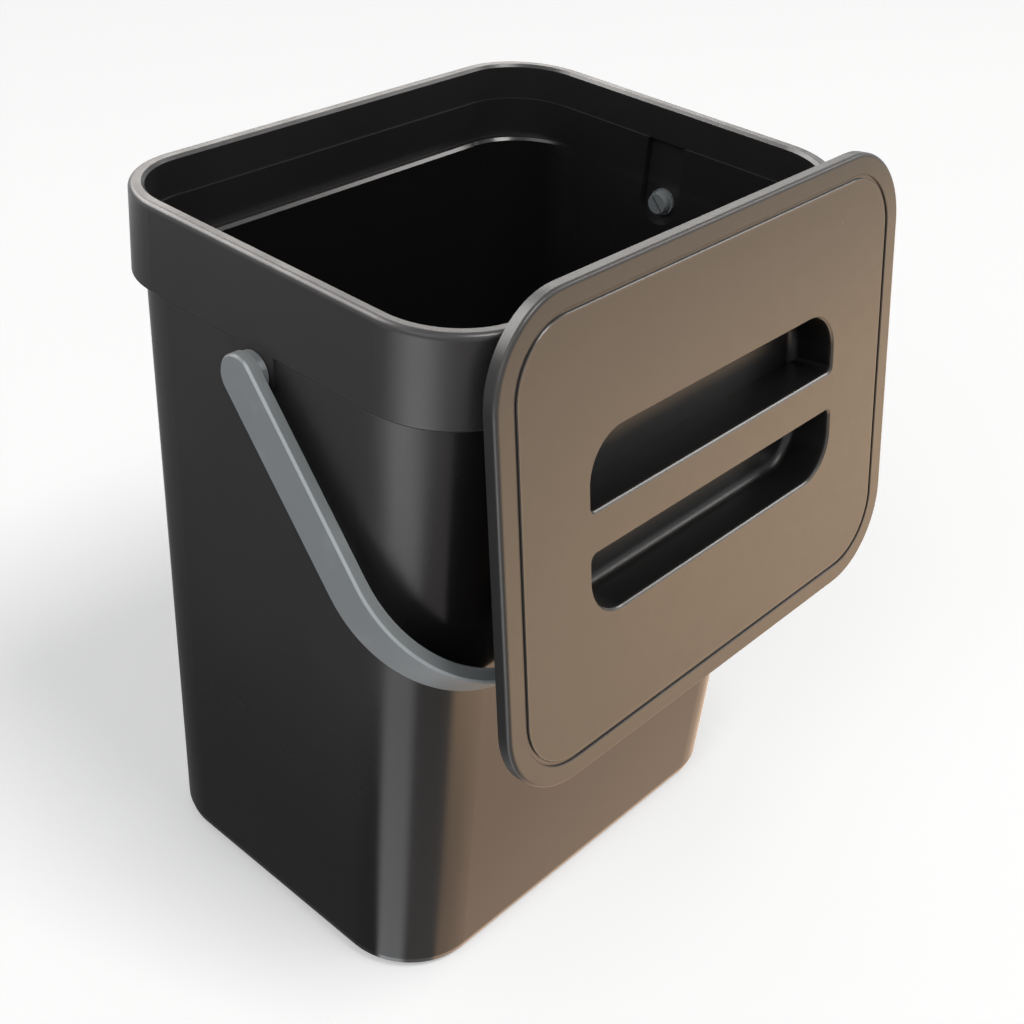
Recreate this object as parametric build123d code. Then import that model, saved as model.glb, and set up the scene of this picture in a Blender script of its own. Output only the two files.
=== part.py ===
from build123d import *
import math
import os

# A hanging waste bin: a tapered bucket with a deep collar, a carry handle that snaps
# into the bucket's sides, and a lid that is hooked over the front of the rim.
# All sizes are in millimetres. The front is -Y, the handle turns about an axis along X,
# and the origin is the middle of the underside.

# Bucket: height, rim and collar
HEIGHT = 300.0
RIM_WIDTH = 237.0
RIM_DEPTH = 183.5
RIM_CORNER = 35.0
RIM_WALL = 6.0
RIM_OUTER_ROUND = 2.2
RIM_INNER_BEVEL = 1.2
COLLAR_DEPTH = 35.0
COLLAR_EDGE_BEVEL = 0.9
SEAT_DEPTH = 15.5
SEAT_STEP = 0.7

# Bucket: tapered body, ledge inside and base
BODY_TOP_WIDTH = 235.0
BODY_TOP_DEPTH = 167.0
BODY_TOP_CORNER = 34.0
BASE_WIDTH = 215.0
BASE_DEPTH = 159.0
BASE_CORNER = 32.0
BODY_WALL = 2.8
LEDGE_THICKNESS = 2.5
LEDGE_LIP = 1.2
BASE_THICKNESS = 3.0
BASE_OUTER_ROUND = 6.0
BASE_ROUND_STEPS = 3
BASE_INNER_BEVEL = 3.0

# Pivot: pads on the outside, thinned channels inside, and the holes
PIVOT_HEIGHT = 257.0
PAD_WIDTH = 19.5
PAD_WALL = 3.0
HOLE_RADIUS = 3.95

# Carry handle: a strap bent into a U
STRAP_WIDTH = 17.5
STRAP_THICKNESS = 5.5
STRAP_BEVEL = 0.8
ARM_STANDOFF = 2.8
BEND_INNER_RADIUS = 52.5
HANDLE_CLEARANCE = 15.0

# Snap pins, moulded with the handle
PIN_CLEARANCE = 0.05
BARB_RADIUS = 5.8
BARB_THICKNESS = 1.5
SHANK_RADIUS = 5.0
TIP_RADIUS = 4.4
TIP_REACH = 5.5
SLOT_WIDTH = 1.2
SLOT_DEPTH = 7.5

# Lid: sheet, turned-down edge and groove
LID_OVERHANG_WIDTH = 2.25
LID_OVERHANG_DEPTH = 1.75
LID_CORNER = 34.5
LID_SHEET = 1.9
LID_EDGE_WALL = 1.3
LID_EDGE_DEPTH = 5.4
LID_FACE_ROUND = 1.6
GROOVE_INSET = 9.0
GROOVE_WIDTH = 1.5
GROOVE_DEPTH = 0.8
GROOVE_LIP = 0.3

# Lid: finger pockets with a bar between them
POCKETS_LENGTH = 151.0
POCKETS_HEIGHT = 70.5
POCKETS_CORNER = 17.0
POCKET_DEPTH = 19.0
POCKET_FLOOR_ROUND = 4.0
POCKET_EDGE_BEVEL = 0.8
BAR_WIDTH = 16.5
BAR_CORNER = 2.5

# Lid: locating ribs underneath
RIB_THICKNESS = 1.8
RIB_DEPTH = 9.4
RIB_CORNER_GAP = 16.0
RIB_CLEARANCE = 0.5

# Clearances, and how the lid hangs
REST_GAP = 0.3
SIDE_GAP = 0.3
HOOK_REACH = 1.3
HANG_SHIFT = 12.5

collar_bottom = HEIGHT - COLLAR_DEPTH
seat_height = HEIGHT - SEAT_DEPTH
ledge_height = collar_bottom + LEDGE_THICKNESS
pad_face = max(RIM_WIDTH, BODY_TOP_WIDTH) / 2
pad_back = pad_face - PAD_WALL
front_top = -BODY_TOP_DEPTH / 2
front_draft = math.atan((BODY_TOP_DEPTH - BASE_DEPTH) / 2 / collar_bottom)
bowl_bottom = -POCKET_DEPTH - LID_SHEET
bowl_bevel = (POCKET_FLOOR_ROUND + LID_SHEET) * (2 - math.sqrt(2))


def section(width, depth, corner, height):
    """A level rounded rectangle at a height."""
    return Pos(0, 0, height) * RectangleRounded(width, depth, corner)


def block(width, depth, corner, low, high):
    """A rounded block with upright walls, from one height to another."""
    return extrude(section(width, depth, corner, low), amount=high - low)


def level_edges(shape, height):
    """The edges of a shape that lie at one height."""
    return shape.edges().filter_by_position(Axis.Z, height - 0.01, height + 0.01)


def pivot_strip(width, top):
    """A strip in the YZ plane, rounded about the pivot and reaching up to a height."""
    upright = Pos(0, (top + PIVOT_HEIGHT) / 2) * Rectangle(width, top - PIVOT_HEIGHT)
    return Pos(0, PIVOT_HEIGHT) * Circle(width / 2) + upright


def both_sides(shape):
    """A piece on the +X side and its mirror image on the -X side."""
    return shape + mirror(shape, about=Plane.YZ)


def body_section(height, drawn_in=0.0):
    """The tapered body's outline at a height, drawn in all round."""
    share = height / collar_bottom
    width = BASE_WIDTH + share * (BODY_TOP_WIDTH - BASE_WIDTH) - 2 * drawn_in
    depth = BASE_DEPTH + share * (BODY_TOP_DEPTH - BASE_DEPTH) - 2 * drawn_in
    corner = BASE_CORNER + share * (BODY_TOP_CORNER - BASE_CORNER) - drawn_in
    return section(width, depth, corner, height).face()


def bucket_outside():
    """Collar and tapered body as one solid block, with the pivot pads.

    The round at the base is a few narrow strips, because a smooth fillet on a tapered
    corner takes ten times as many triangles.
    """
    collar = block(RIM_WIDTH, RIM_DEPTH, RIM_CORNER, collar_bottom, HEIGHT)
    collar = chamfer(level_edges(collar, collar_bottom), COLLAR_EDGE_BEVEL)
    sections = []
    for step in range(BASE_ROUND_STEPS + 1):
        turn = math.radians(90 * step / BASE_ROUND_STEPS)
        sections.append(body_section(BASE_OUTER_ROUND * (1 - math.cos(turn)),
                                     BASE_OUTER_ROUND * (1 - math.sin(turn))))
    body = loft(sections + [body_section(collar_bottom)], ruled=True)
    pad_root = BASE_WIDTH / 2 - BODY_WALL
    pad = Plane.YZ.offset(pad_root) * pivot_strip(PAD_WIDTH, collar_bottom + 2 * COLLAR_EDGE_BEVEL)
    return collar + body + both_sides(extrude(pad, amount=pad_face - pad_root))


def bucket_hollow():
    """Everything that is cut from the block: mouth, collar, body and channels."""
    mouth_width = RIM_WIDTH - 2 * RIM_WALL
    mouth_depth = RIM_DEPTH - 2 * RIM_WALL
    mouth_corner = RIM_CORNER - RIM_WALL
    mouth = block(mouth_width, mouth_depth, mouth_corner, seat_height, HEIGHT)
    throat_width = mouth_width - 2 * SEAT_STEP
    throat_depth = mouth_depth - 2 * SEAT_STEP
    throat_corner = mouth_corner - SEAT_STEP
    throat = block(throat_width, throat_depth, throat_corner, ledge_height, seat_height)

    inner_depth = BODY_TOP_DEPTH - 2 * BODY_WALL
    inner_corner = BODY_TOP_CORNER - BODY_WALL
    floor = body_section(BASE_THICKNESS, BODY_WALL + BASE_INNER_BEVEL)
    above_floor = body_section(BASE_THICKNESS + BASE_INNER_BEVEL, BODY_WALL)
    below_lip = section(throat_width, inner_depth, inner_corner, ledge_height - LEDGE_LIP).face()
    lip = section(throat_width, inner_depth + 2 * LEDGE_LIP, inner_corner, ledge_height).face()
    body = loft([floor, above_floor, below_lip, lip], ruled=True)

    channel_root = BASE_WIDTH / 2 - 2 * BODY_WALL
    channel = Plane.YZ.offset(channel_root) * pivot_strip(PAD_WIDTH, seat_height)
    channels = both_sides(extrude(channel, amount=pad_back - channel_root))
    return mouth + throat + body + channels


def make_bucket():
    """The bucket as one moulding with two holes for the handle's pins."""
    bucket = bucket_outside() - bucket_hollow()
    bucket -= Pos(0, 0, PIVOT_HEIGHT) * Rot(0, 90, 0) * Cylinder(HOLE_RADIUS, 2 * (pad_face + PAD_WALL))
    bucket = fillet(rim_face(bucket).outer_wire().edges(), RIM_OUTER_ROUND)
    return chamfer(rim_face(bucket).inner_wires()[0].edges(), RIM_INNER_BEVEL)


def rim_face(bucket):
    """The level top of the rim."""
    return bucket.faces().sort_by(Axis.Z)[-1]


def front_of_body(across, height):
    """How far the body's front stands forward at a distance from the middle and a height."""
    share = height / collar_bottom
    half_width = (BASE_WIDTH + share * (BODY_TOP_WIDTH - BASE_WIDTH)) / 2
    half_depth = (BASE_DEPTH + share * (BODY_TOP_DEPTH - BASE_DEPTH)) / 2
    corner = BASE_CORNER + share * (BODY_TOP_CORNER - BASE_CORNER)
    into_corner = min(corner, max(0, across - half_width + corner))
    return half_depth - corner + math.sqrt(corner ** 2 - into_corner ** 2)


def turning_point(holds, low, high):
    """The value between low and high where a test stops holding, found by halving."""
    while high - low > 1e-7:
        middle = (low + high) / 2
        if holds(middle):
            low = middle
        else:
            high = middle
    return high


def handle_gap(reach, lean):
    """Least gap from the strap's lower inner edge to the body, at a reach and a lean."""
    gaps = []
    for turn in range(0, 60, 2):
        bend = math.radians(turn)
        across = pad_face + ARM_STANDOFF - BEND_INNER_RADIUS * (1 - math.sin(bend))
        distance = reach - BEND_INNER_RADIUS * (1 - math.cos(bend))
        forward = distance * math.sin(lean) - STRAP_WIDTH / 2 * math.cos(lean)
        height = PIVOT_HEIGHT - distance * math.cos(lean) - STRAP_WIDTH / 2 * math.sin(lean)
        gaps.append(forward - front_of_body(across, height))
    return min(gaps)


def handle_lean(reach):
    """Angle from upright at which the hanging handle comes to lie against the body."""
    return turning_point(lambda lean: handle_gap(reach, lean) < REST_GAP, 0, math.pi / 2)


def strap_top(reach):
    """Height of the strap's upper edge, in front of the body, for the hanging handle."""
    lean = handle_lean(reach)
    return PIVOT_HEIGHT - reach * math.cos(lean) + STRAP_WIDTH / 2 * math.sin(lean)


def handle_reach():
    """Reach from the pivot at which the hanging strap clears the hung lid's pockets."""
    lean, face_y, face_z = lid_hang()
    pocket_low = face_z - (POCKETS_HEIGHT / 2 + LID_SHEET) * math.cos(lean) + bowl_bottom * math.sin(lean)
    limit = pocket_low - HANDLE_CLEARANCE
    return turning_point(lambda reach: strap_top(reach) > limit, BEND_INNER_RADIUS, HEIGHT)


def make_handle():
    """The handle hanging straight down from the pivot, then leaned on to the front wall."""
    reach = handle_reach()
    arm_inner = pad_face + ARM_STANDOFF
    arm_outer = arm_inner + STRAP_THICKNESS
    reach_outer = reach + STRAP_THICKNESS
    bend_outer = BEND_INNER_RADIUS + STRAP_THICKNESS
    end = STRAP_WIDTH / 2
    outer = FilletPolyline((-arm_outer, end), (-arm_outer, -reach_outer), (arm_outer, -reach_outer),
                           (arm_outer, end), radius=bend_outer)
    inner = FilletPolyline((-arm_inner, end), (-arm_inner, -reach), (arm_inner, -reach),
                           (arm_inner, end), radius=BEND_INNER_RADIUS)
    ends = [Line(outer @ 0, inner @ 0), Line(outer @ 1, inner @ 1)]
    outline = make_face(outer.edges() + inner.edges() + [line.edge() for line in ends])
    strap = extrude(Plane.XZ * outline, amount=end, both=True)
    side = Circle(end) + Pos(0, -reach_outer / 2) * Rectangle(STRAP_WIDTH, reach_outer)
    strap &= extrude(Plane.YZ * side, amount=arm_outer, both=True)
    strap = chamfer(strap.edges(), STRAP_BEVEL)
    handle = strap + both_sides(make_pin())
    return Pos(0, 0, PIVOT_HEIGHT) * Rot(-math.degrees(handle_lean(reach)), 0, 0) * handle


def make_pin():
    """Boss, bearing, barb and slotted tip of the +X snap pin, turned about the pivot axis."""
    boss_start = pad_face + ARM_STANDOFF + STRAP_THICKNESS / 2
    boss_end = pad_face + SIDE_GAP
    barb_start = pad_back - REST_GAP
    barb_end = barb_start - BARB_THICKNESS
    tip = pad_back - TIP_REACH
    bearing = HOLE_RADIUS - PIN_CLEARANCE
    boss = STRAP_WIDTH / 2 - STRAP_BEVEL
    profile = Polyline((boss_start, 0), (boss_start, boss), (boss_end, boss), (boss_end, bearing),
                       (barb_start, bearing), (barb_start, BARB_RADIUS), (barb_end, BARB_RADIUS),
                       (barb_end, SHANK_RADIUS), (tip, TIP_RADIUS), (tip, 0), close=True)
    pin = revolve(Plane.XZ * make_face(profile), axis=Axis.X)
    slot = Pos(tip + SLOT_DEPTH / 2, 0, 0) * Box(SLOT_DEPTH, SLOT_WIDTH, 3 * BARB_RADIUS)
    return pin - slot


def pocket_hollows():
    """The two finger pockets as solids to cut, with a soft edge round their floors."""
    bowl = block(POCKETS_LENGTH, POCKETS_HEIGHT, POCKETS_CORNER, -POCKET_DEPTH, 0)
    bowl = fillet(level_edges(bowl, -POCKET_DEPTH), POCKET_FLOOR_ROUND)
    whole = RectangleRounded(POCKETS_LENGTH, POCKETS_HEIGHT, POCKETS_CORNER)
    pair = whole - Rectangle(POCKETS_LENGTH + BAR_WIDTH, BAR_WIDTH)
    bar_edge = BAR_WIDTH / 2 + 0.01
    at_bar = [corner for corner in pair.vertices() if abs(corner.Y) < bar_edge]
    pair = fillet(at_bar, BAR_CORNER)
    return bowl & extrude(pair, amount=-POCKET_DEPTH)


def lid_rib(length, offset):
    """One straight rib under the sheet, along X, at an offset towards +Y."""
    return Pos(0, offset, -LID_SHEET - RIB_DEPTH / 2) * Box(length, RIB_THICKNESS, RIB_DEPTH)


def rib_offset(rim_size):
    """Middle of a rib from the lid's centre, for the rim's size in that direction."""
    return rim_size / 2 - RIM_WALL - RIB_CLEARANCE - RIB_THICKNESS / 2


def make_lid_flat():
    """The lid lying flat with its face at height 0, and its hollow side down."""
    width = RIM_WIDTH + 2 * LID_OVERHANG_WIDTH
    depth = RIM_DEPTH + 2 * LID_OVERHANG_DEPTH
    lid = block(width, depth, LID_CORNER, -LID_EDGE_DEPTH, 0)
    lid = fillet(level_edges(lid, 0), LID_FACE_ROUND)
    lid -= block(width - 2 * LID_EDGE_WALL, depth - 2 * LID_EDGE_WALL, LID_CORNER - LID_EDGE_WALL,
                 -LID_EDGE_DEPTH, -LID_SHEET)

    bowl = block(POCKETS_LENGTH + 2 * LID_SHEET, POCKETS_HEIGHT + 2 * LID_SHEET, POCKETS_CORNER + LID_SHEET,
                 bowl_bottom, -LID_SHEET / 2)
    bowl = chamfer(level_edges(bowl, bowl_bottom), bowl_bevel)
    lid += bowl
    lid -= pocket_hollows()
    bar_hollow = Box(POCKETS_LENGTH, BAR_WIDTH - 2 * LID_SHEET, POCKET_DEPTH)
    lid -= Pos(0, 0, bowl_bottom + POCKET_DEPTH / 2) * bar_hollow

    corner_reach = LID_CORNER + RIB_CORNER_GAP
    for turn in (0, 180):
        lid += Rot(0, 0, turn) * lid_rib(width - 2 * corner_reach, rib_offset(RIM_DEPTH))
        lid += Rot(0, 0, turn + 90) * lid_rib(depth - 2 * corner_reach, rib_offset(RIM_WIDTH))
    return finish_lid_face(lid, width, depth)


def finish_lid_face(lid, width, depth):
    """Cut the fine groove round the face, and bevel its lips and the pocket mouths."""
    outer_inset = GROOVE_INSET - GROOVE_WIDTH / 2
    inner_inset = GROOVE_INSET + GROOVE_WIDTH / 2
    ring = block(width - 2 * outer_inset, depth - 2 * outer_inset, LID_CORNER - outer_inset, -GROOVE_DEPTH, 0)
    ring -= block(width - 2 * inner_inset, depth - 2 * inner_inset, LID_CORNER - inner_inset,
                  -GROOVE_DEPTH, 0)
    lid -= ring
    border, panel = face_parts(lid)
    lid = chamfer(panel.outer_wire().edges() + border.inner_wires()[0].edges(), GROOVE_LIP)
    mouths = ShapeList()
    for mouth in face_parts(lid)[1].inner_wires():
        mouths += mouth.edges()
    return chamfer(mouths, POCKET_EDGE_BEVEL)


def face_parts(lid):
    """The lid's border outside the groove, and the panel inside it."""
    level = lid.faces().filter_by_position(Axis.Z, -0.01, 0.01)
    return level.sort_by(SortBy.AREA)[-2:]


def lid_hang():
    """Lean of the hung lid and the place of its face's centre in Y and Z.

    The top rib's lower face rests on the upper corner of the rim's inner bevel, and the
    upper back corner of the pockets lies on the front wall.
    """
    rim_y = -RIM_DEPTH / 2 + RIM_WALL - RIM_INNER_BEVEL
    rim_in = LID_SHEET + RIB_DEPTH - HOOK_REACH
    rim_up = rib_offset(RIM_DEPTH) - RIB_THICKNESS / 2 - REST_GAP
    across = POCKET_DEPTH + LID_SHEET - rim_in
    along = POCKETS_HEIGHT / 2 + LID_SHEET - bowl_bevel - rim_up
    cos_wall = math.cos(front_draft)
    sin_wall = math.sin(front_draft)
    first = -(across * cos_wall + along * sin_wall)
    second = -(along * cos_wall - across * sin_wall)
    gap = REST_GAP + cos_wall * (rim_y - front_top) + sin_wall * (HEIGHT - collar_bottom)
    lean = math.atan2(second, first) - math.acos(gap / math.hypot(first, second))
    face_y = rim_y - rim_in * math.cos(lean) - rim_up * math.sin(lean)
    face_z = HEIGHT + rim_in * math.sin(lean) - rim_up * math.cos(lean)
    return lean, face_y, face_z


def make_lid():
    """The lid in its place, hooked over the front rim with its face outwards."""
    lean, face_y, face_z = lid_hang()
    return Pos(HANG_SHIFT, face_y, face_z) * Rot(90 - math.degrees(lean), 0, 0) * make_lid_flat()


os.makedirs("parts", exist_ok=True)
for name, shape in (("bucket", make_bucket()), ("carry_handle", make_handle()), ("lid", make_lid())):
    export_step(shape, f"parts/{name}.step")
    print(name, "volume", round(shape.volume / 1000, 1), "cm3")
lid_lean, lid_y, lid_z = lid_hang()
print("handle reaches", round(handle_reach(), 3), "mm and leans",
      round(math.degrees(handle_lean(handle_reach())), 4), "degrees")
print("lid leans", round(math.degrees(lid_lean), 4), "degrees, face centre", round(lid_y, 3), round(lid_z, 3))
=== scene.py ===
# %% [markdown]
# A hanging waste bin in Blender
#
# The bin is three plastic mouldings: a black bucket, its lid hooked over the front rim, and a
# grey carry handle. They could be modelled here once more, but the CAD shapes are the ones that
# were measured, so this lesson keeps them and makes what they lack: the finish of each moulding,
# the light, the floor and the camera. The CAD box is kept, so that the finished bin can be
# measured against it.

import math

import bpy
from mathutils import Euler, Matrix, Vector


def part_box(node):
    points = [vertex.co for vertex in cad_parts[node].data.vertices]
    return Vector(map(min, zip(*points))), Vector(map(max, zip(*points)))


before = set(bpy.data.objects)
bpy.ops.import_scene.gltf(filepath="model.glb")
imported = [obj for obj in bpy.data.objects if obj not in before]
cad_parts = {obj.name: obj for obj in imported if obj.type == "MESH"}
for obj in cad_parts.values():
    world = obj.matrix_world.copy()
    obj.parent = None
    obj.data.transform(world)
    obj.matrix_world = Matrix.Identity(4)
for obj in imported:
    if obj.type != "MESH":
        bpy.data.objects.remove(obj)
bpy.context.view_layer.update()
bpy.ops.object.select_all(action="DESELECT")
for name in sorted(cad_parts):
    low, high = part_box(name)
    print(name, "from", [round(v, 4) for v in low], "to", [round(v, 4) for v in high])

# %% [markdown]
# Sums with sockets
#
# A shader is a web of nodes. Placing every Math node one by one would work, but it hides the
# idea behind the web. This small class wraps one socket and lets ordinary arithmetic make the
# nodes: `1 - mask` is then a Subtract node, and a whole formula reads as it would on paper.

# %% A socket that can be used in arithmetic
class Value:
    def __init__(self, finish, socket):
        self.finish = finish
        self.socket = socket

    def maths(self, operation, first, second=0.0):
        """The result of one Math node."""
        return self.finish.node("ShaderNodeMath", {"operation": operation}, {0: first, 1: second})

    def __add__(self, other):
        return self.maths("ADD", self, other)

    def __radd__(self, other):
        return self.maths("ADD", other, self)

    def __sub__(self, other):
        return self.maths("SUBTRACT", self, other)

    def __rsub__(self, other):
        return self.maths("SUBTRACT", other, self)

    def __mul__(self, other):
        return self.maths("MULTIPLY", self, other)

    def __rmul__(self, other):
        return self.maths("MULTIPLY", other, self)

    def __pow__(self, other):
        return self.maths("POWER", self, other)

    def __neg__(self):
        return self.maths("MULTIPLY", self, -1.0)

    def __abs__(self):
        return self.maths("ABSOLUTE", self)

    def at_least(self, other):
        """The larger of this and another value."""
        return self.maths("MAXIMUM", self, other)

    def at_most(self, other):
        """The smaller of this and another value."""
        return self.maths("MINIMUM", self, other)

    def between(self, start, end):
        """0 below the start, 1 above the end, and a soft step from one to the other."""
        return self.finish.node("ShaderNodeMapRange", {"interpolation_type": "SMOOTHSTEP"},
                                {"Value": self, "From Min": start, "From Max": end})


print("a socket now takes part in sums")

# %% [markdown]
# One finish per material
#
# `Finish` keeps the node tree of a material. Nodes could each be made by a call of their own
# kind, but one method, `node`, makes any of them and keeps the lesson short: settings such as an
# operation are set first, because they decide which sockets there are, and then each socket gets
# a number, a colour or a link.

# %% A material and the method that makes its nodes
# A Mix node has a set of sockets for each kind of data. These are the ones for colours.
MIX_MASK, MIX_FIRST, MIX_SECOND, MIX_RESULT = 0, 6, 7, 2


class Finish:
    def __init__(self, tree):
        self.tree = tree
        tree.nodes.clear()

    def node(self, kind, settings=None, sockets=None, output=0):
        """A new node of a kind. Gives one of its outputs, if it has any, ready for arithmetic."""
        made = self.tree.nodes.new(kind)
        for key, value in (settings or {}).items():
            setattr(made, key, value)
        for key, value in (sockets or {}).items():
            if isinstance(value, Value):
                self.tree.links.new(value.socket, made.inputs[key])
            else:
                made.inputs[key].default_value = value
        if made.outputs:
            return Value(self, made.outputs[output])

    def blend(self, mask, first, second):
        """One colour where the mask is 0 and another where it is 1."""
        return self.node("ShaderNodeMix", {"data_type": "RGBA"},
                         {MIX_MASK: mask, MIX_FIRST: first, MIX_SECOND: second}, output=MIX_RESULT)

    def noise(self, place, scale, detail=2.0, roughness=0.5):
        """Cloudy noise from 0 to 1, with a number of lumps to the metre."""
        return self.node("ShaderNodeTexNoise", None,
                         {"Vector": place, "Scale": scale, "Detail": detail, "Roughness": roughness})

    def axes(self, place):
        """The three coordinates of a place as separate values."""
        split = self.node("ShaderNodeSeparateXYZ", None, {"Vector": place}).socket.node
        return [Value(self, socket) for socket in split.outputs]


def new_finish(name):
    """A material, and the finish that holds its empty node tree."""
    material = bpy.data.materials.new(name)
    material.use_nodes = True
    return material, Finish(material.node_tree)


def dress(node, material):
    """Give a CAD node its finish in place of the plain one."""
    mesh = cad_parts[node].data
    mesh.materials.clear()
    mesh.materials.append(material)
    print(node, "is finished with", material.name)


# %% [markdown]
# Dust and scratches
#
# A bin that is used has hairline scratches and a few specks of dust on it. They could be painted
# on an image, but an image has one resolution and needs the piece unwrapped. Noise has neither
# limit: scratches are noise that is stretched into lines and then broken up by softer noise, and
# dust sits at the middle of some of the cells of a Voronoi pattern.

# %% Dust and hairline scratches
DUST_COLOUR = (0.30, 0.29, 0.28, 1)
DUST_CELL = 0.013
DUST_SIZE = 0.00032
DUST_SHARE = 0.10
SCRATCHES_ACROSS = 700
SCRATCHES_ALONG = 9
HAIRLINE = (0.70, 0.78)
SCRATCH_PATCHES = 35.0
PATCH_START = 0.62
PATCH_END = 0.80


def dust(finish, place):
    """1 on small scattered specks, in a share of the cells."""
    cells = {"Vector": place, "Scale": 1 / DUST_CELL}
    dots = finish.node("ShaderNodeTexVoronoi", {"feature": "F1"}, cells, output="Distance")
    lot = finish.node("ShaderNodeTexVoronoi", {"feature": "F1"}, cells, output="Color")
    pick = finish.node("ShaderNodeSeparateColor", None, {"Color": lot})
    size = DUST_SIZE / DUST_CELL
    chosen = pick.between(1 - DUST_SHARE, 1 - DUST_SHARE + 0.02)
    return (1 - dots.between(size / 2, size)) * chosen


def scratches(finish, place, angle, amount):
    """Thin broken hairlines at one angle, from noise that is stretched nearly eighty times."""
    turned = finish.node("ShaderNodeMapping", None,
                         {"Vector": place, "Rotation": (angle, angle * 0.6, angle),
                          "Scale": (SCRATCHES_ACROSS, SCRATCHES_ALONG, SCRATCHES_ALONG)})
    line = finish.noise(turned, 1.0, detail=1.0)
    patch = finish.noise(place, SCRATCH_PATCHES)
    return line.between(*HAIRLINE) * patch.between(PATCH_START - amount, PATCH_END - amount)


print("dust specks of", DUST_SIZE * 1000, "mm, scratches", round(1000 / SCRATCHES_ACROSS, 1), "mm apart")

# %% [markdown]
# Moulded plastic
#
# All three pieces are injection moulded polypropylene with a satin skin. One colour and one
# roughness would give a toy: a real skin drifts slightly in colour from the flow of the melt, its
# gloss is mottled, a very fine grain breaks it up, and edges that are rubbed turn paler and
# smoother. Each of these is a layer at its real scale. The same paler colour also paints a
# highlight on some edges, and an inside can get a darker colour, which is painted shade. One
# function lays them on, so that the pieces belong together, and each piece brings its own masks
# for where it is rubbed, where it has a painted highlight, and where its inside begins.

# %% The layers of a moulded plastic
DRIFT_SCALE = 14.0
DRIFT_EDGE = (0.35, 0.65)
MOTTLE_SCALE = 160.0
GRAIN_SIZE = 0.0004
SCRATCH_SETS = ((0.7, 0.03), (2.2, 0.0))
PLASTIC_IOR = 1.49
# Colour: how much paler worn plastic and a painted highlight are, and how far each layer covers the skin
WEAR_AND_HIGHLIGHT_GAIN = 1.9
WEAR_AND_HIGHLIGHT_LIFT = 0.012
RUBBED_AND_HIGHLIGHT_COVER = 0.55
SCORED_COVER = 0.5
DUST_COVER = 0.75
# Roughness: what each layer adds to it, and its limits
UNEVEN_GLOSS = 0.06
SCORED_GLOSS = 0.10
DUST_GLOSS = 0.30
SMOOTHEST = 0.12
ROUGHEST = 0.95
# Height: of the whole skin in metres, and of each layer against the fine grain
BUMP_HEIGHT = 0.00005
MOTTLE_HEIGHT = 0.12
SCRATCH_DEPTH = 0.8
DUST_HEIGHT = 1.2
INSIDE_SMOOTHER = 0.7


def moulded(name, colours, roughness, grain, wear_and_highlight, inside=None, relief=None):
    """A satin plastic in two colours that drift into each other.

    The roughness is that of the plain skin and of a rubbed edge. The wear mask is 1 where edges are
    rubbed, and where a painted highlight makes them paler. The inside, if any, is a mask with a
    darker colour, which is painted shade, and a roughness. The relief is a height in metres that is
    too slight for the CAD model.
    """
    plain, polished = roughness
    first, second = colours
    # The paler colour stands for wear and, where a piece's mask says so, for a painted highlight.
    wear_and_highlight_colour = tuple(min(1.0, channel * WEAR_AND_HIGHLIGHT_GAIN + WEAR_AND_HIGHLIGHT_LIFT) for channel in first[:3]) + (1,)
    material, finish = new_finish(name)
    place = finish.node("ShaderNodeTexCoord", output="Object")
    drift = finish.noise(place, DRIFT_SCALE, detail=3.0)
    mottle = finish.noise(place, MOTTLE_SCALE, detail=3.0)
    fine = finish.noise(place, 1 / GRAIN_SIZE, detail=2.0, roughness=0.6)
    rubbed_and_highlit = wear_and_highlight(finish, place)
    scored = sum(scratches(finish, place, angle, amount) for angle, amount in SCRATCH_SETS)
    specks = dust(finish, place)
    skin = finish.blend(drift.between(*DRIFT_EDGE), first, second)
    skin = finish.blend((RUBBED_AND_HIGHLIGHT_COVER * rubbed_and_highlit + SCORED_COVER * scored).at_most(1.0), skin, wear_and_highlight_colour)
    skin = finish.blend(DUST_COVER * specks, skin, DUST_COLOUR)
    gloss = plain + UNEVEN_GLOSS * (mottle - 0.5) + UNEVEN_GLOSS * (drift - 0.5)
    gloss = gloss + (polished - plain) * rubbed_and_highlit + SCORED_GLOSS * scored + DUST_GLOSS * specks
    # An inside gets a darker colour: painted shade.
    if inside:
        mask, inside_shade, hidden = inside
        within = mask(finish, place)
        skin = finish.blend(within, skin, inside_shade)
        gloss = gloss + (hidden - plain) * within
        fine = fine * (1 - INSIDE_SMOOTHER * within)
    height = fine + MOTTLE_HEIGHT * mottle - SCRATCH_DEPTH * scored + DUST_HEIGHT * specks
    if relief:
        height = height + relief(finish, place) * (1 / (grain * BUMP_HEIGHT))
    bump = finish.node("ShaderNodeBump", None,
                       {"Strength": grain, "Distance": BUMP_HEIGHT, "Height": height})
    gloss = gloss.at_least(SMOOTHEST).at_most(ROUGHEST)
    shader = finish.node("ShaderNodeBsdfPrincipled", None,
                         {"Base Color": skin, "Roughness": gloss, "Normal": bump, "IOR": PLASTIC_IOR,
                          "Specular IOR Level": 0.5})
    finish.node("ShaderNodeOutputMaterial", None, {"Surface": shader})
    return material


print("moulded plastic has a grain of", GRAIN_SIZE * 1000, "mm")

# %% [markdown]
# Distance from a rounded outline
#
# Wear follows the shape, so a mask has to know where the edges are. Edges could be marked on the
# mesh, but its triangles are large. A rounded rectangle has a short distance formula instead,
# negative inside and positive outside. It serves for the bucket seen from above, for the lid seen
# face on, and for the bow of the handle.

# %% A rounded rectangle's distance as shader sums
def outline_distance(across, up, half_width, half_height, corner):
    """Distance from a rounded rectangle's edge, in metres, negative inside."""
    x = abs(across) - (half_width - corner)
    y = abs(up) - (half_height - corner)
    outside = (x.at_least(0.0) ** 2 + y.at_least(0.0) ** 2) ** 0.5
    return outside + x.at_least(y).at_most(0.0) - corner


def near(distance, inner, outer):
    """1 within an inner distance of a line, falling to 0 at an outer one."""
    return 1 - abs(distance).between(inner, outer)


print("masks can now follow a rounded outline")
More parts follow.
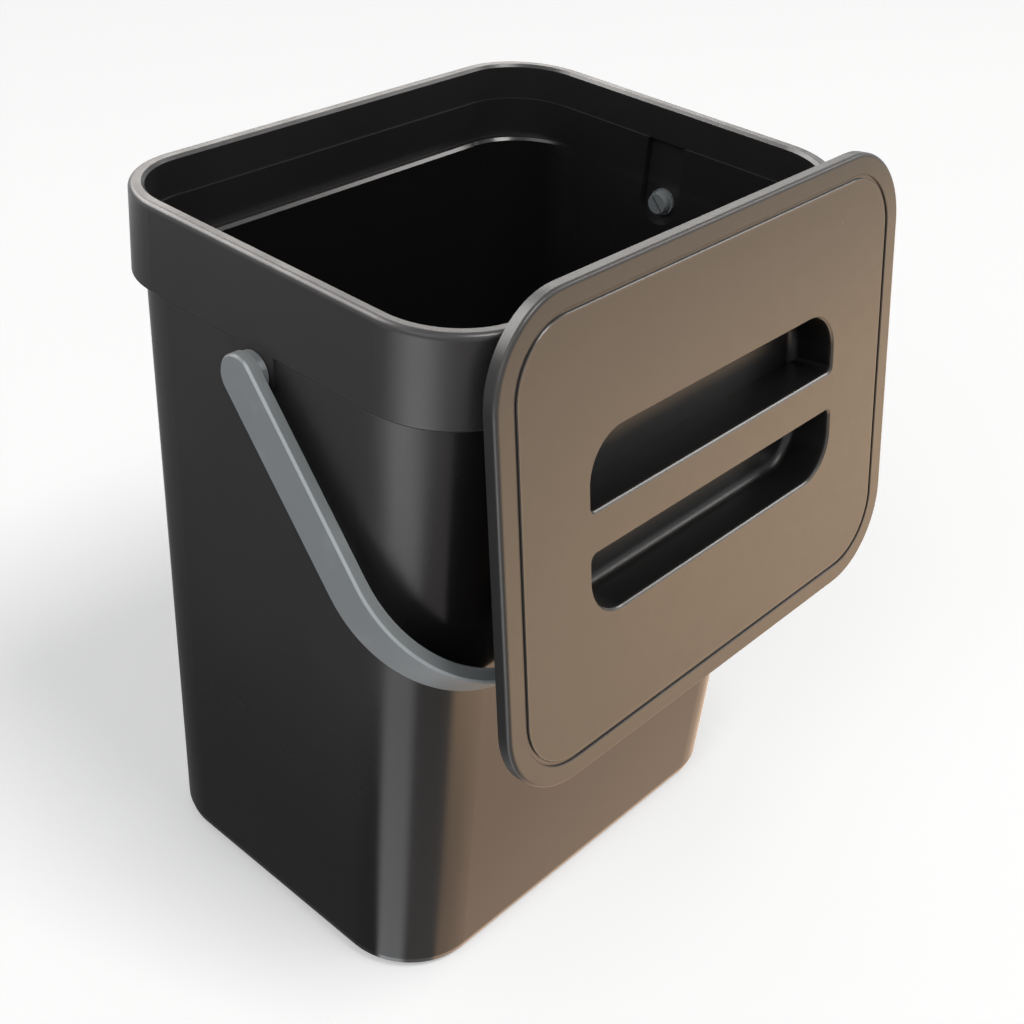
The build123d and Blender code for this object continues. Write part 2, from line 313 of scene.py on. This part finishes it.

# %% [markdown]
# Bucket
#
# The bucket is black, satin outside and glossier inside, where the mould is polished so that
# waste lets go. Inside it is also painted darker, which is painted shade in the deep hollow. Its rim
# and the lower edge of its collar are rubbed a little paler. The inner walls could be a second
# material on faces picked one by one, but the distance from the rim's outline tells the inside
# from the outside in one sum.

# %% Finish of the bucket
BUCKET_COLOUR = (0.0190, 0.0178, 0.0188, 1)
BUCKET_DRIFT = (0.0222, 0.0206, 0.0214, 1)
BUCKET_ROUGHNESS = (0.36, 0.29)
BUCKET_GRAIN = 0.30
# The inner walls' darker colour is painted shade.
BUCKET_INSIDE_SHADE = (0.0088, 0.0080, 0.0086, 1)
BUCKET_INSIDE_ROUGHNESS = 0.20
RIM_CORNER = 0.035
RIM_WALL = 0.006
COLLAR_DEPTH = 0.035
# Distances over which the wear fades, from the rim's top and from the collar's edge, in metres
RIM_WORN = (0.0004, 0.0025)
COLLAR_WORN = (0.0004, 0.0022)
COLLAR_SHARE = 0.6
# The inside begins at the inner edge of the rim
INSIDE_FADE = (-RIM_WALL - 0.004, -RIM_WALL + 0.001)
BUCKET_PATCHES = 55.0
PATCH_EDGE = (0.30, 0.70)
bucket_low, bucket_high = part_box("bucket")


def bucket_wear(finish, place):
    """Rubbed along the top of the rim and the lower edge of the collar."""
    below_top = bucket_high.z - finish.axes(place)[2]
    rim = 1 - below_top.between(*RIM_WORN)
    collar = near(below_top - COLLAR_DEPTH, *COLLAR_WORN)
    patches = finish.noise(place, BUCKET_PATCHES, detail=3.0)
    return (rim + COLLAR_SHARE * collar).at_most(1.0) * patches.between(*PATCH_EDGE)


def bucket_inside(finish, place):
    """1 on the inner side of the walls."""
    across, inside_shade = finish.axes(place)[:2]
    rim = outline_distance(across, inside_shade, bucket_high.x, bucket_high.y, RIM_CORNER)
    return 1 - rim.between(*INSIDE_FADE)


print("bucket is", [round(v, 3) for v in bucket_high - bucket_low], "m over all")
bucket_plastic = moulded("bucket_black_plastic", (BUCKET_COLOUR, BUCKET_DRIFT), BUCKET_ROUGHNESS,
                         BUCKET_GRAIN, bucket_wear,
                         inside=(bucket_inside, BUCKET_INSIDE_SHADE, BUCKET_INSIDE_ROUGHNESS))
dress("bucket", bucket_plastic)

# %% [markdown]
# Where the lid hangs
#
# The lid leans on the front of the bucket, so its groove, its pockets and its edge don't line up
# with X, Y and Z. The lean could be typed in, but then it would be wrong after any change of the
# CAD model. It is read from the mesh: among the triangles that look forwards, the largest lies on
# the flat face, so its normal gives the lean.

# %% Find the lid's plane from its mesh
LOOKS_FORWARDS = -0.95


def lid_plane(mesh):
    """Turn from the lid's own axes to the world, the middle of its face, and half its size."""
    facing = [face for face in mesh.polygons if face.normal.y < LOOKS_FORWARDS]
    normal = max(facing, key=lambda face: face.area).normal
    lean = math.atan2(normal.z, -normal.y)
    turn = Euler((math.pi / 2 - lean, 0, 0)).to_matrix()
    flat = [turn.transposed() @ corner.co for corner in mesh.vertices]
    low = Vector([min(point[axis] for point in flat) for axis in range(3)])
    high = Vector([max(point[axis] for point in flat) for axis in range(3)])
    middle = Vector(((low.x + high.x) / 2, (low.y + high.y) / 2, high.z))
    return turn, turn @ middle, (high - low) / 2


lid_turn, lid_middle, lid_half = lid_plane(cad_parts["lid"].data)
print("lid leans", round(90 - math.degrees(lid_turn.to_euler().x), 2), "degrees; face middle",
      [round(v, 4) for v in lid_middle], "half size", [round(v, 4) for v in lid_half[:2]])

# %% [markdown]
# Lid
#
# The lid is the same black plastic with a finer, flatter texture on its face, which spreads
# reflections widely. Its pockets are matt, and their colour is painted nearly black, which is
# painted shade, because little light finds its way back out of them. Their bevelled lips and the
# bead along the groove are rubbed smooth and catch a glint. They are painted paler as well: on the
# lips and the outer edge partly wear and partly a painted highlight, and on the bead a painted
# highlight. The border outside the groove falls away by a quarter of a millimetre, which is laid
# on as a bump. Masks in X, Y and Z would need the lean in every sum, so the coordinates are turned
# into the lid's own plane first. Depth below the face and distance from the edge are then plain
# numbers.

# %% Finish of the lid
LID_COLOUR = (0.0250, 0.0222, 0.0205, 1)
LID_DRIFT = (0.0290, 0.0257, 0.0235, 1)
LID_ROUGHNESS = (0.40, 0.20)
LID_GRAIN = 0.25
# The pockets' nearly black colour is painted shade.
POCKET_SHADE = (0.0035, 0.0034, 0.0036, 1)
POCKET_ROUGHNESS = 0.38
LID_CORNER = 0.0345
GROOVE_INSET = 0.009
BEAD_INSET = 0.0101
BORDER_SLOPE = 0.03
# The bead stands 0.3 mm above the face and is the lid's highest line, so the face is at -0.0003.
LIP_TOP = (-0.00048, -0.00035)
LIP_FOOT = (-0.0014, -0.0011)
POCKET_TOP = (-0.0022, -0.0008)
BEAD_HIGHLIGHT_WIDTH = (0.0002, 0.0006)
BEAD_HIGHLIGHT_SHARE = 0.8
BORDER_FADE = 0.001
BORDER_LESS = 0.7


def lid_axes(finish, place):
    """Coordinates in the lid's plane, with its highest line at height 0."""
    turn = lid_turn.transposed()
    moved = finish.node("ShaderNodeMapping", {"vector_type": "POINT"},
                        {"Vector": place, "Location": -(turn @ lid_middle), "Rotation": turn.to_euler()})
    return finish.axes(moved)


def lid_edge(across, up):
    """Distance from the lid's outer edge, negative inside."""
    return outline_distance(across, up, lid_half.x, lid_half.y, LID_CORNER)


def lid_wear_and_highlight(finish, place):
    """Paler on the lips of the pockets and a little on the outer edge, partly wear and partly a painted
    highlight, and a painted highlight along the bead.
    """
    across, up, height = lid_axes(finish, place)
    edge = lid_edge(across, up)
    lips = (1 - height.between(*LIP_TOP)) * height.between(*LIP_FOOT)
    border = edge.between(-BEAD_INSET - BORDER_FADE, -BEAD_INSET)
    # The bead's paler line is a painted highlight.
    bead_highlight = near(edge + BEAD_INSET, *BEAD_HIGHLIGHT_WIDTH)
    return (lips * (1 - BORDER_LESS * border) + BEAD_HIGHLIGHT_SHARE * bead_highlight).at_most(1.0)


def lid_pockets(finish, place):
    """1 down in the finger pockets."""
    height = lid_axes(finish, place)[2]
    return 1 - height.between(*POCKET_TOP)


def lid_border(finish, place):
    """The border outside the groove falls away slightly towards the edge."""
    across, up, height = lid_axes(finish, place)
    return (lid_edge(across, up) + GROOVE_INSET).at_least(0.0) * -BORDER_SLOPE


lid_plastic = moulded("lid_black_plastic", (LID_COLOUR, LID_DRIFT), LID_ROUGHNESS, LID_GRAIN,
                      lid_wear_and_highlight, inside=(lid_pockets, POCKET_SHADE, POCKET_ROUGHNESS),
                      relief=lid_border)
dress("lid", lid_plastic)

# %% [markdown]
# Carry handle
#
# The handle is a mid grey strap, a little bluish. Its long bevels are painted pale, a painted
# highlight that gives each of its edges a fine light line, and its flats are rubbed pale only in
# soft patches of wear. Noise alone would scatter these everywhere, so the mask measures how near a
# point is both to the side of the strap and to its broad face. For that it needs the hanging
# handle's lean, half width and reach, which are read from the mesh: the straight bar at the far
# end of the bow gives the lean.

# %% Finish of the carry handle
HANDLE_COLOUR = (0.214, 0.232, 0.241, 1)
HANDLE_DRIFT = (0.240, 0.256, 0.264, 1)
HANDLE_ROUGHNESS = (0.42, 0.30)
HANDLE_GRAIN = 0.25
HANDLE_PIVOT = 0.257
STRAP_HALF = 0.00875
STRAP_THICKNESS = 0.0055
STRAP_BEVEL = 0.0008
STRAP_BEND = 0.058
BAR_HALF = 0.07
BEVEL_FADE = 0.0003
# The bevels' pale line is a painted highlight.
BEVEL_HIGHLIGHT = 1.6
HANDLE_PATCHES = 48.0
HANDLE_PATCH_EDGE = (0.56, 0.80)
PATCH_WEAR = 0.4


def handle_pose(mesh):
    """Angle between the hanging handle and straight down, half its width and its reach."""
    bar = [corner.co for corner in mesh.vertices if abs(corner.co.x) < BAR_HALF]
    middle = sum(bar, Vector()) / len(bar)
    lean = math.atan2(-middle.y, HANDLE_PIVOT - middle.z)
    reaches = [(HANDLE_PIVOT - corner.co.z) * math.cos(lean) - corner.co.y * math.sin(lean)
               for corner in mesh.vertices]
    return lean, max(corner.co.x for corner in mesh.vertices), max(reaches)


def handle_wear_and_highlight(finish, place):
    """A painted highlight on the strap's long bevels, and wear in soft patches."""
    x, y, z = finish.axes(place)
    drop = HANDLE_PIVOT - z
    across = drop * math.sin(strap_lean) + y * math.cos(strap_lean)
    along = drop * math.cos(strap_lean) - y * math.sin(strap_lean)
    from_side = STRAP_HALF - abs(across)
    bow = outline_distance(x, along, strap_width, strap_reach, STRAP_BEND)
    from_face = STRAP_THICKNESS / 2 - abs(bow + STRAP_THICKNESS / 2)
    bevel_highlight = 1 - from_side.at_least(from_face).between(STRAP_BEVEL, STRAP_BEVEL + BEVEL_FADE)
    cloud = finish.noise(place, HANDLE_PATCHES, detail=4.0, roughness=0.6)
    patches = cloud.between(*HANDLE_PATCH_EDGE)
    return (BEVEL_HIGHLIGHT * bevel_highlight + PATCH_WEAR * patches).at_most(BEVEL_HIGHLIGHT)


strap_lean, strap_width, strap_reach = handle_pose(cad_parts["carry_handle"].data)
print("handle leans", round(math.degrees(strap_lean), 2), "degrees, half width", round(strap_width, 4),
      "reach", round(strap_reach, 4))
handle_plastic = moulded("handle_grey_plastic", (HANDLE_COLOUR, HANDLE_DRIFT), HANDLE_ROUGHNESS,
                         HANDLE_GRAIN, handle_wear_and_highlight)
dress("carry_handle", handle_plastic)

# %% [markdown]
# Floor
#
# The bin stands on a white sweep. Stronger lamps would whiten it, but they would bleach the bin
# too. So the floor is a matt surface that takes the bin's soft shadow, and a share of its white
# is added only for rays from the camera, in reflections and through glass.

# %% White floor
FLOOR_SIZE = 14.0
FLOOR_WHITE = (0.80, 0.80, 0.805, 1)
FLOOR_LIFT = 0.335
WHITE = (1, 1, 1, 1)
SEEING_RAYS = ("Is Camera Ray", "Is Glossy Ray", "Is Transmission Ray")


def seen(finish):
    """1 for rays that show a surface, and 0 for rays that only carry light from it."""
    return sum(finish.node("ShaderNodeLightPath", output=kind) for kind in SEEING_RAYS).at_most(1.0)


def white_floor():
    """A large level plane under the bin."""
    bpy.ops.mesh.primitive_plane_add(size=FLOOR_SIZE, location=(0, 0, 0))
    floor = bpy.context.object
    floor.name = "floor"
    material, finish = new_finish("white_floor")
    matt = finish.node("ShaderNodeBsdfDiffuse", None, {"Color": FLOOR_WHITE})
    glow = finish.node("ShaderNodeEmission", None, {"Color": WHITE, "Strength": seen(finish) * FLOOR_LIFT})
    both = finish.node("ShaderNodeAddShader", None, {0: matt, 1: glow})
    finish.node("ShaderNodeOutputMaterial", None, {"Surface": both})
    floor.data.materials.append(material)
    bpy.ops.object.select_all(action="DESELECT")
    return floor


floor = white_floor()
print("a white floor of", FLOOR_SIZE, "m")

# %% [markdown]
# Light
#
# In the photograph a soft shadow spreads from the left side of the bin. A lamp straight above
# would hide it under the bin, and a bare sun would sharpen it. So a soft key lamp stands high in
# front of the lid, and a wide, weaker one fills in from the left. Their power gives about one
# unit of light on the floor, so that each colour renders about as it is written.
#
# Three more lamps are seen only in reflections, as a window would be: one draws the pale line
# along the rim, one the glint on the lips of the pockets, and one that on the ledge inside.

# %% Soft lamps
AIM = Vector((0, 0, 0.15))
KEY_WHITE = (1.0, 0.985, 0.96)
FILL_WHITE = (0.96, 0.98, 1.0)
GLINT_WHITE = (1.0, 0.97, 0.94)
LEDGE_WHITE = (1.0, 0.95, 0.90)


def softbox(name, place, size, power, colour):
    """A rectangular area lamp, aimed at the middle of the bin, which the camera doesn't see."""
    data = bpy.data.lights.new(name, "AREA")
    data.shape = "RECTANGLE"
    data.size, data.size_y = size
    data.energy = power
    data.color = colour
    made = bpy.data.objects.new(name, data)
    bpy.context.scene.collection.objects.link(made)
    made.location = place
    made.rotation_euler = (AIM - Vector(place)).to_track_quat("-Z", "Y").to_euler()
    made.visible_camera = False
    print(name, "at", [round(v, 2) for v in place], "with", round(power, 2), "W")
    return made


softbox("key", (0.75, -3.55, 6.95), (2.7, 2.7), 290, KEY_WHITE)
softbox("fill", (-5.2, -1.2, 4.4), (4.8, 4.8), 112, FILL_WHITE)
for glint in (softbox("window", (-0.44, 1.65, 1.69), (1.8, 1.3), 66, GLINT_WHITE),
              softbox("lip_light", (1.95, -1.0, 1.7), (0.8, 0.8), 16, GLINT_WHITE),
              softbox("ledge_light", (0.88, 1.23, 0.95), (1.6, 0.3), 9, LEDGE_WHITE)):
    glint.visible_diffuse = False

# %% [markdown]
# What the plastic mirrors
#
# Black plastic is hardly lit at all: what the eye sees on it is mirrored floor. In the photograph
# the front and the lid mirror a warm floor on the right, the rounded front corner has one bright
# band between two dark ones, and the left side mirrors a dark floor. Glowing cards laid on the
# floor would be simpler, but their straight edges make bands that bend away at the corner's foot.
#
# So one glowing sheet lies on the floor, coloured by how the corner has to face, in degrees from
# the camera, to mirror each spot of it. Close to the corner that is the spot's own angle round
# it, and far away it is half of that. Every band then runs straight down the corner. Only
# reflections see the sheet, so the floor itself stays plain.

# %% How the corner faces each spot of the floor
CORNER_MIDDLE = (-0.0755, -0.0475)
CORNER_RADIUS = 0.032
CORNER_FACES = math.radians(221)
NEARNESS_POWER = -1.75


def around_corner(x, y):
    """A spot's distance from the corner, its angle from the camera, and how the corner faces it."""
    right = x - CORNER_MIDDLE[0]
    back = y - CORNER_MIDDLE[1]
    ahead = right * math.cos(CORNER_FACES) + back * math.sin(CORNER_FACES)
    aside = back * math.cos(CORNER_FACES) - right * math.sin(CORNER_FACES)
    distance = (ahead * ahead + aside * aside) ** 0.5
    angle = aside.maths("ARCTAN2", aside, ahead) * (180 / math.pi)
    nearness = (distance.at_least(CORNER_RADIUS) * (1 / CORNER_RADIUS)) ** NEARNESS_POWER
    return distance, angle, angle * (1 + nearness) * 0.5


print("the corner faces", round(math.degrees(CORNER_FACES)), "degrees from +X")

# %% Colours of the mirrored floor
DARK_NEAR = (0.14, 0.137, 0.14, 1)
DARK_FAR = (0.28, 0.274, 0.28, 1)
BRIGHT_NEAR = (1.67, 1.69, 1.72, 1)
BRIGHT_FAR = (5.10, 5.15, 5.26, 1)
DARK_IN_FRONT = (0.55, 0.52, 0.50, 1)
WARM_NEAR = (1.52, 1.09, 0.785, 1)
WARM_MIDDLE = (3.62, 2.59, 1.70, 1)
WARM_FAR = (2.50, 1.79, 1.18, 1)
PLAIN = (0.93, 0.93, 0.93, 1)
# Where each colour gives way to the next, in degrees
DARK_TO_BRIGHT = (-23, -17)
BRIGHT_TO_FRONT = (-4, 3)
FRONT_TO_WARM = (21, 27)
BEHIND_THE_BIN = (135, 150)
BAND_SHIFT = 9
# Where each near colour gives way to its far one, and where the bands shift, in metres
DARK_FADE = (0.20, 0.55)
BRIGHT_FADE = (0.20, 0.62)
SHIFT_FADE = (0.42, 0.66)
WARM_IN_FRONT = (0.12, 0.36)
WARM_FADE = (0.85, 1.45)


def corner_bands(finish, distance, turn):
    """Dark, bright and dark again, by how the corner faces."""
    dark = finish.blend(distance.between(*DARK_FADE), DARK_NEAR, DARK_FAR)
    bright = finish.blend(distance.between(*BRIGHT_FADE), BRIGHT_NEAR, BRIGHT_FAR)
    shifted = turn + BAND_SHIFT * distance.between(*SHIFT_FADE)
    shade = finish.blend(shifted.between(*DARK_TO_BRIGHT), dark, bright)
    return finish.blend(shifted.between(*BRIGHT_TO_FRONT), shade, DARK_IN_FRONT)


def warm_floor(finish, y, distance):
    """The floor in front of the lid, brightest from about a third of a metre to a metre away."""
    warm = finish.blend((-y).between(*WARM_IN_FRONT), WARM_NEAR, WARM_MIDDLE)
    return finish.blend(distance.between(*WARM_FADE), warm, WARM_FAR)


def floor_colours(finish):
    """The colour of each spot of the floor."""
    x, y, z = finish.axes(finish.node("ShaderNodeTexCoord", output="Object"))
    distance, angle, turn = around_corner(x, y)
    shade = corner_bands(finish, distance, turn)
    shade = finish.blend(turn.between(*FRONT_TO_WARM), shade, warm_floor(finish, y, distance))
    return finish.blend(abs(angle).between(*BEHIND_THE_BIN), shade, PLAIN)


print("the bright band lies from", DARK_TO_BRIGHT[1], "to", BRIGHT_TO_FRONT[0], "degrees")

# %% The mirrored floor
SHEET_HEIGHT = 0.001
SHEET_MIDDLE = (0.40, -0.225)
SHEET_SIZE = (2.4, 1.95)


def mirrored_floor():
    """A glowing sheet on the floor that only reflections see. Level 1 is as bright as white paper."""
    bpy.ops.mesh.primitive_plane_add(size=1, location=(*SHEET_MIDDLE, SHEET_HEIGHT))
    sheet = bpy.context.object
    sheet.name = "mirrored_floor"
    sheet.scale = (*SHEET_SIZE, 1)
    bpy.ops.object.transform_apply(location=True, rotation=True, scale=True)
    sheet.visible_camera = False
    sheet.visible_diffuse = False
    sheet.visible_transmission = False
    sheet.visible_shadow = False
    material, finish = new_finish("mirrored_floor")
    glow = finish.node("ShaderNodeEmission", None, {"Color": floor_colours(finish), "Strength": 1.0})
    finish.node("ShaderNodeOutputMaterial", None, {"Surface": glow})
    sheet.data.materials.append(material)
    bpy.ops.object.select_all(action="DESELECT")
    return sheet


mirrored_floor()
print("a mirrored floor of", SHEET_SIZE, "m at", SHEET_MIDDLE)

# %% [markdown]
# World
#
# Beyond the floor there is only air. A picture of a studio could surround the bin, but it would
# be read from a file. A plain world is enough: white where it is seen, and a soft grey for the
# light that it sheds, so that the background is pale and the shadow keeps its depth.

# %% World
WORLD_LEVEL = 0.31
WORLD_SEEN = 0.956

world = bpy.data.worlds.new("studio")
bpy.context.scene.world = world
world.use_nodes = True
air = Finish(world.node_tree)
level = WORLD_LEVEL + (WORLD_SEEN - WORLD_LEVEL) * seen(air)
sky = air.node("ShaderNodeBackground", None, {"Color": WHITE, "Strength": level})
air.node("ShaderNodeOutputWorld", None, {"Surface": sky})
print("the world is seen at", WORLD_SEEN, "and lights at", WORLD_LEVEL)

# %% [markdown]
# Camera
#
# The photograph is taken from the front left and above. A camera could be placed by eye, but the
# outlines of the rim, the body and the lid fix it far better. Its place, its turn and its focal
# length were fitted to them, and are given here in metres, as a turn vector in radians, and in
# pixels of a 1024 pixel square.

# %% Camera
PICTURE = 1024
FOCAL_PIXELS = 1596.2
CENTRE_PIXEL = (440.2, 419.2)
CAMERA_PLACE = (-0.43091, -0.36652, 0.52532)
CAMERA_TURN = Vector((1.9923094, -0.8156236, 0.5356826))

camera_data = bpy.data.cameras.new("camera")
camera = bpy.data.objects.new("camera", camera_data)
bpy.context.scene.collection.objects.link(camera)
right, down, forward = Matrix.Rotation(CAMERA_TURN.length, 3, CAMERA_TURN.normalized())
axes = Matrix((right, -down, -forward)).transposed()
camera.matrix_world = Matrix.Translation(CAMERA_PLACE) @ axes.to_4x4()
camera_data.lens = FOCAL_PIXELS / PICTURE * camera_data.sensor_width
camera_data.shift_x = (PICTURE / 2 - CENTRE_PIXEL[0]) / PICTURE
camera_data.shift_y = (CENTRE_PIXEL[1] - PICTURE / 2) / PICTURE
bpy.context.scene.camera = camera
bpy.context.scene.view_settings.view_transform = "Standard"
print("camera at", [round(v, 3) for v in camera.location], "lens", round(camera_data.lens, 2), "mm")
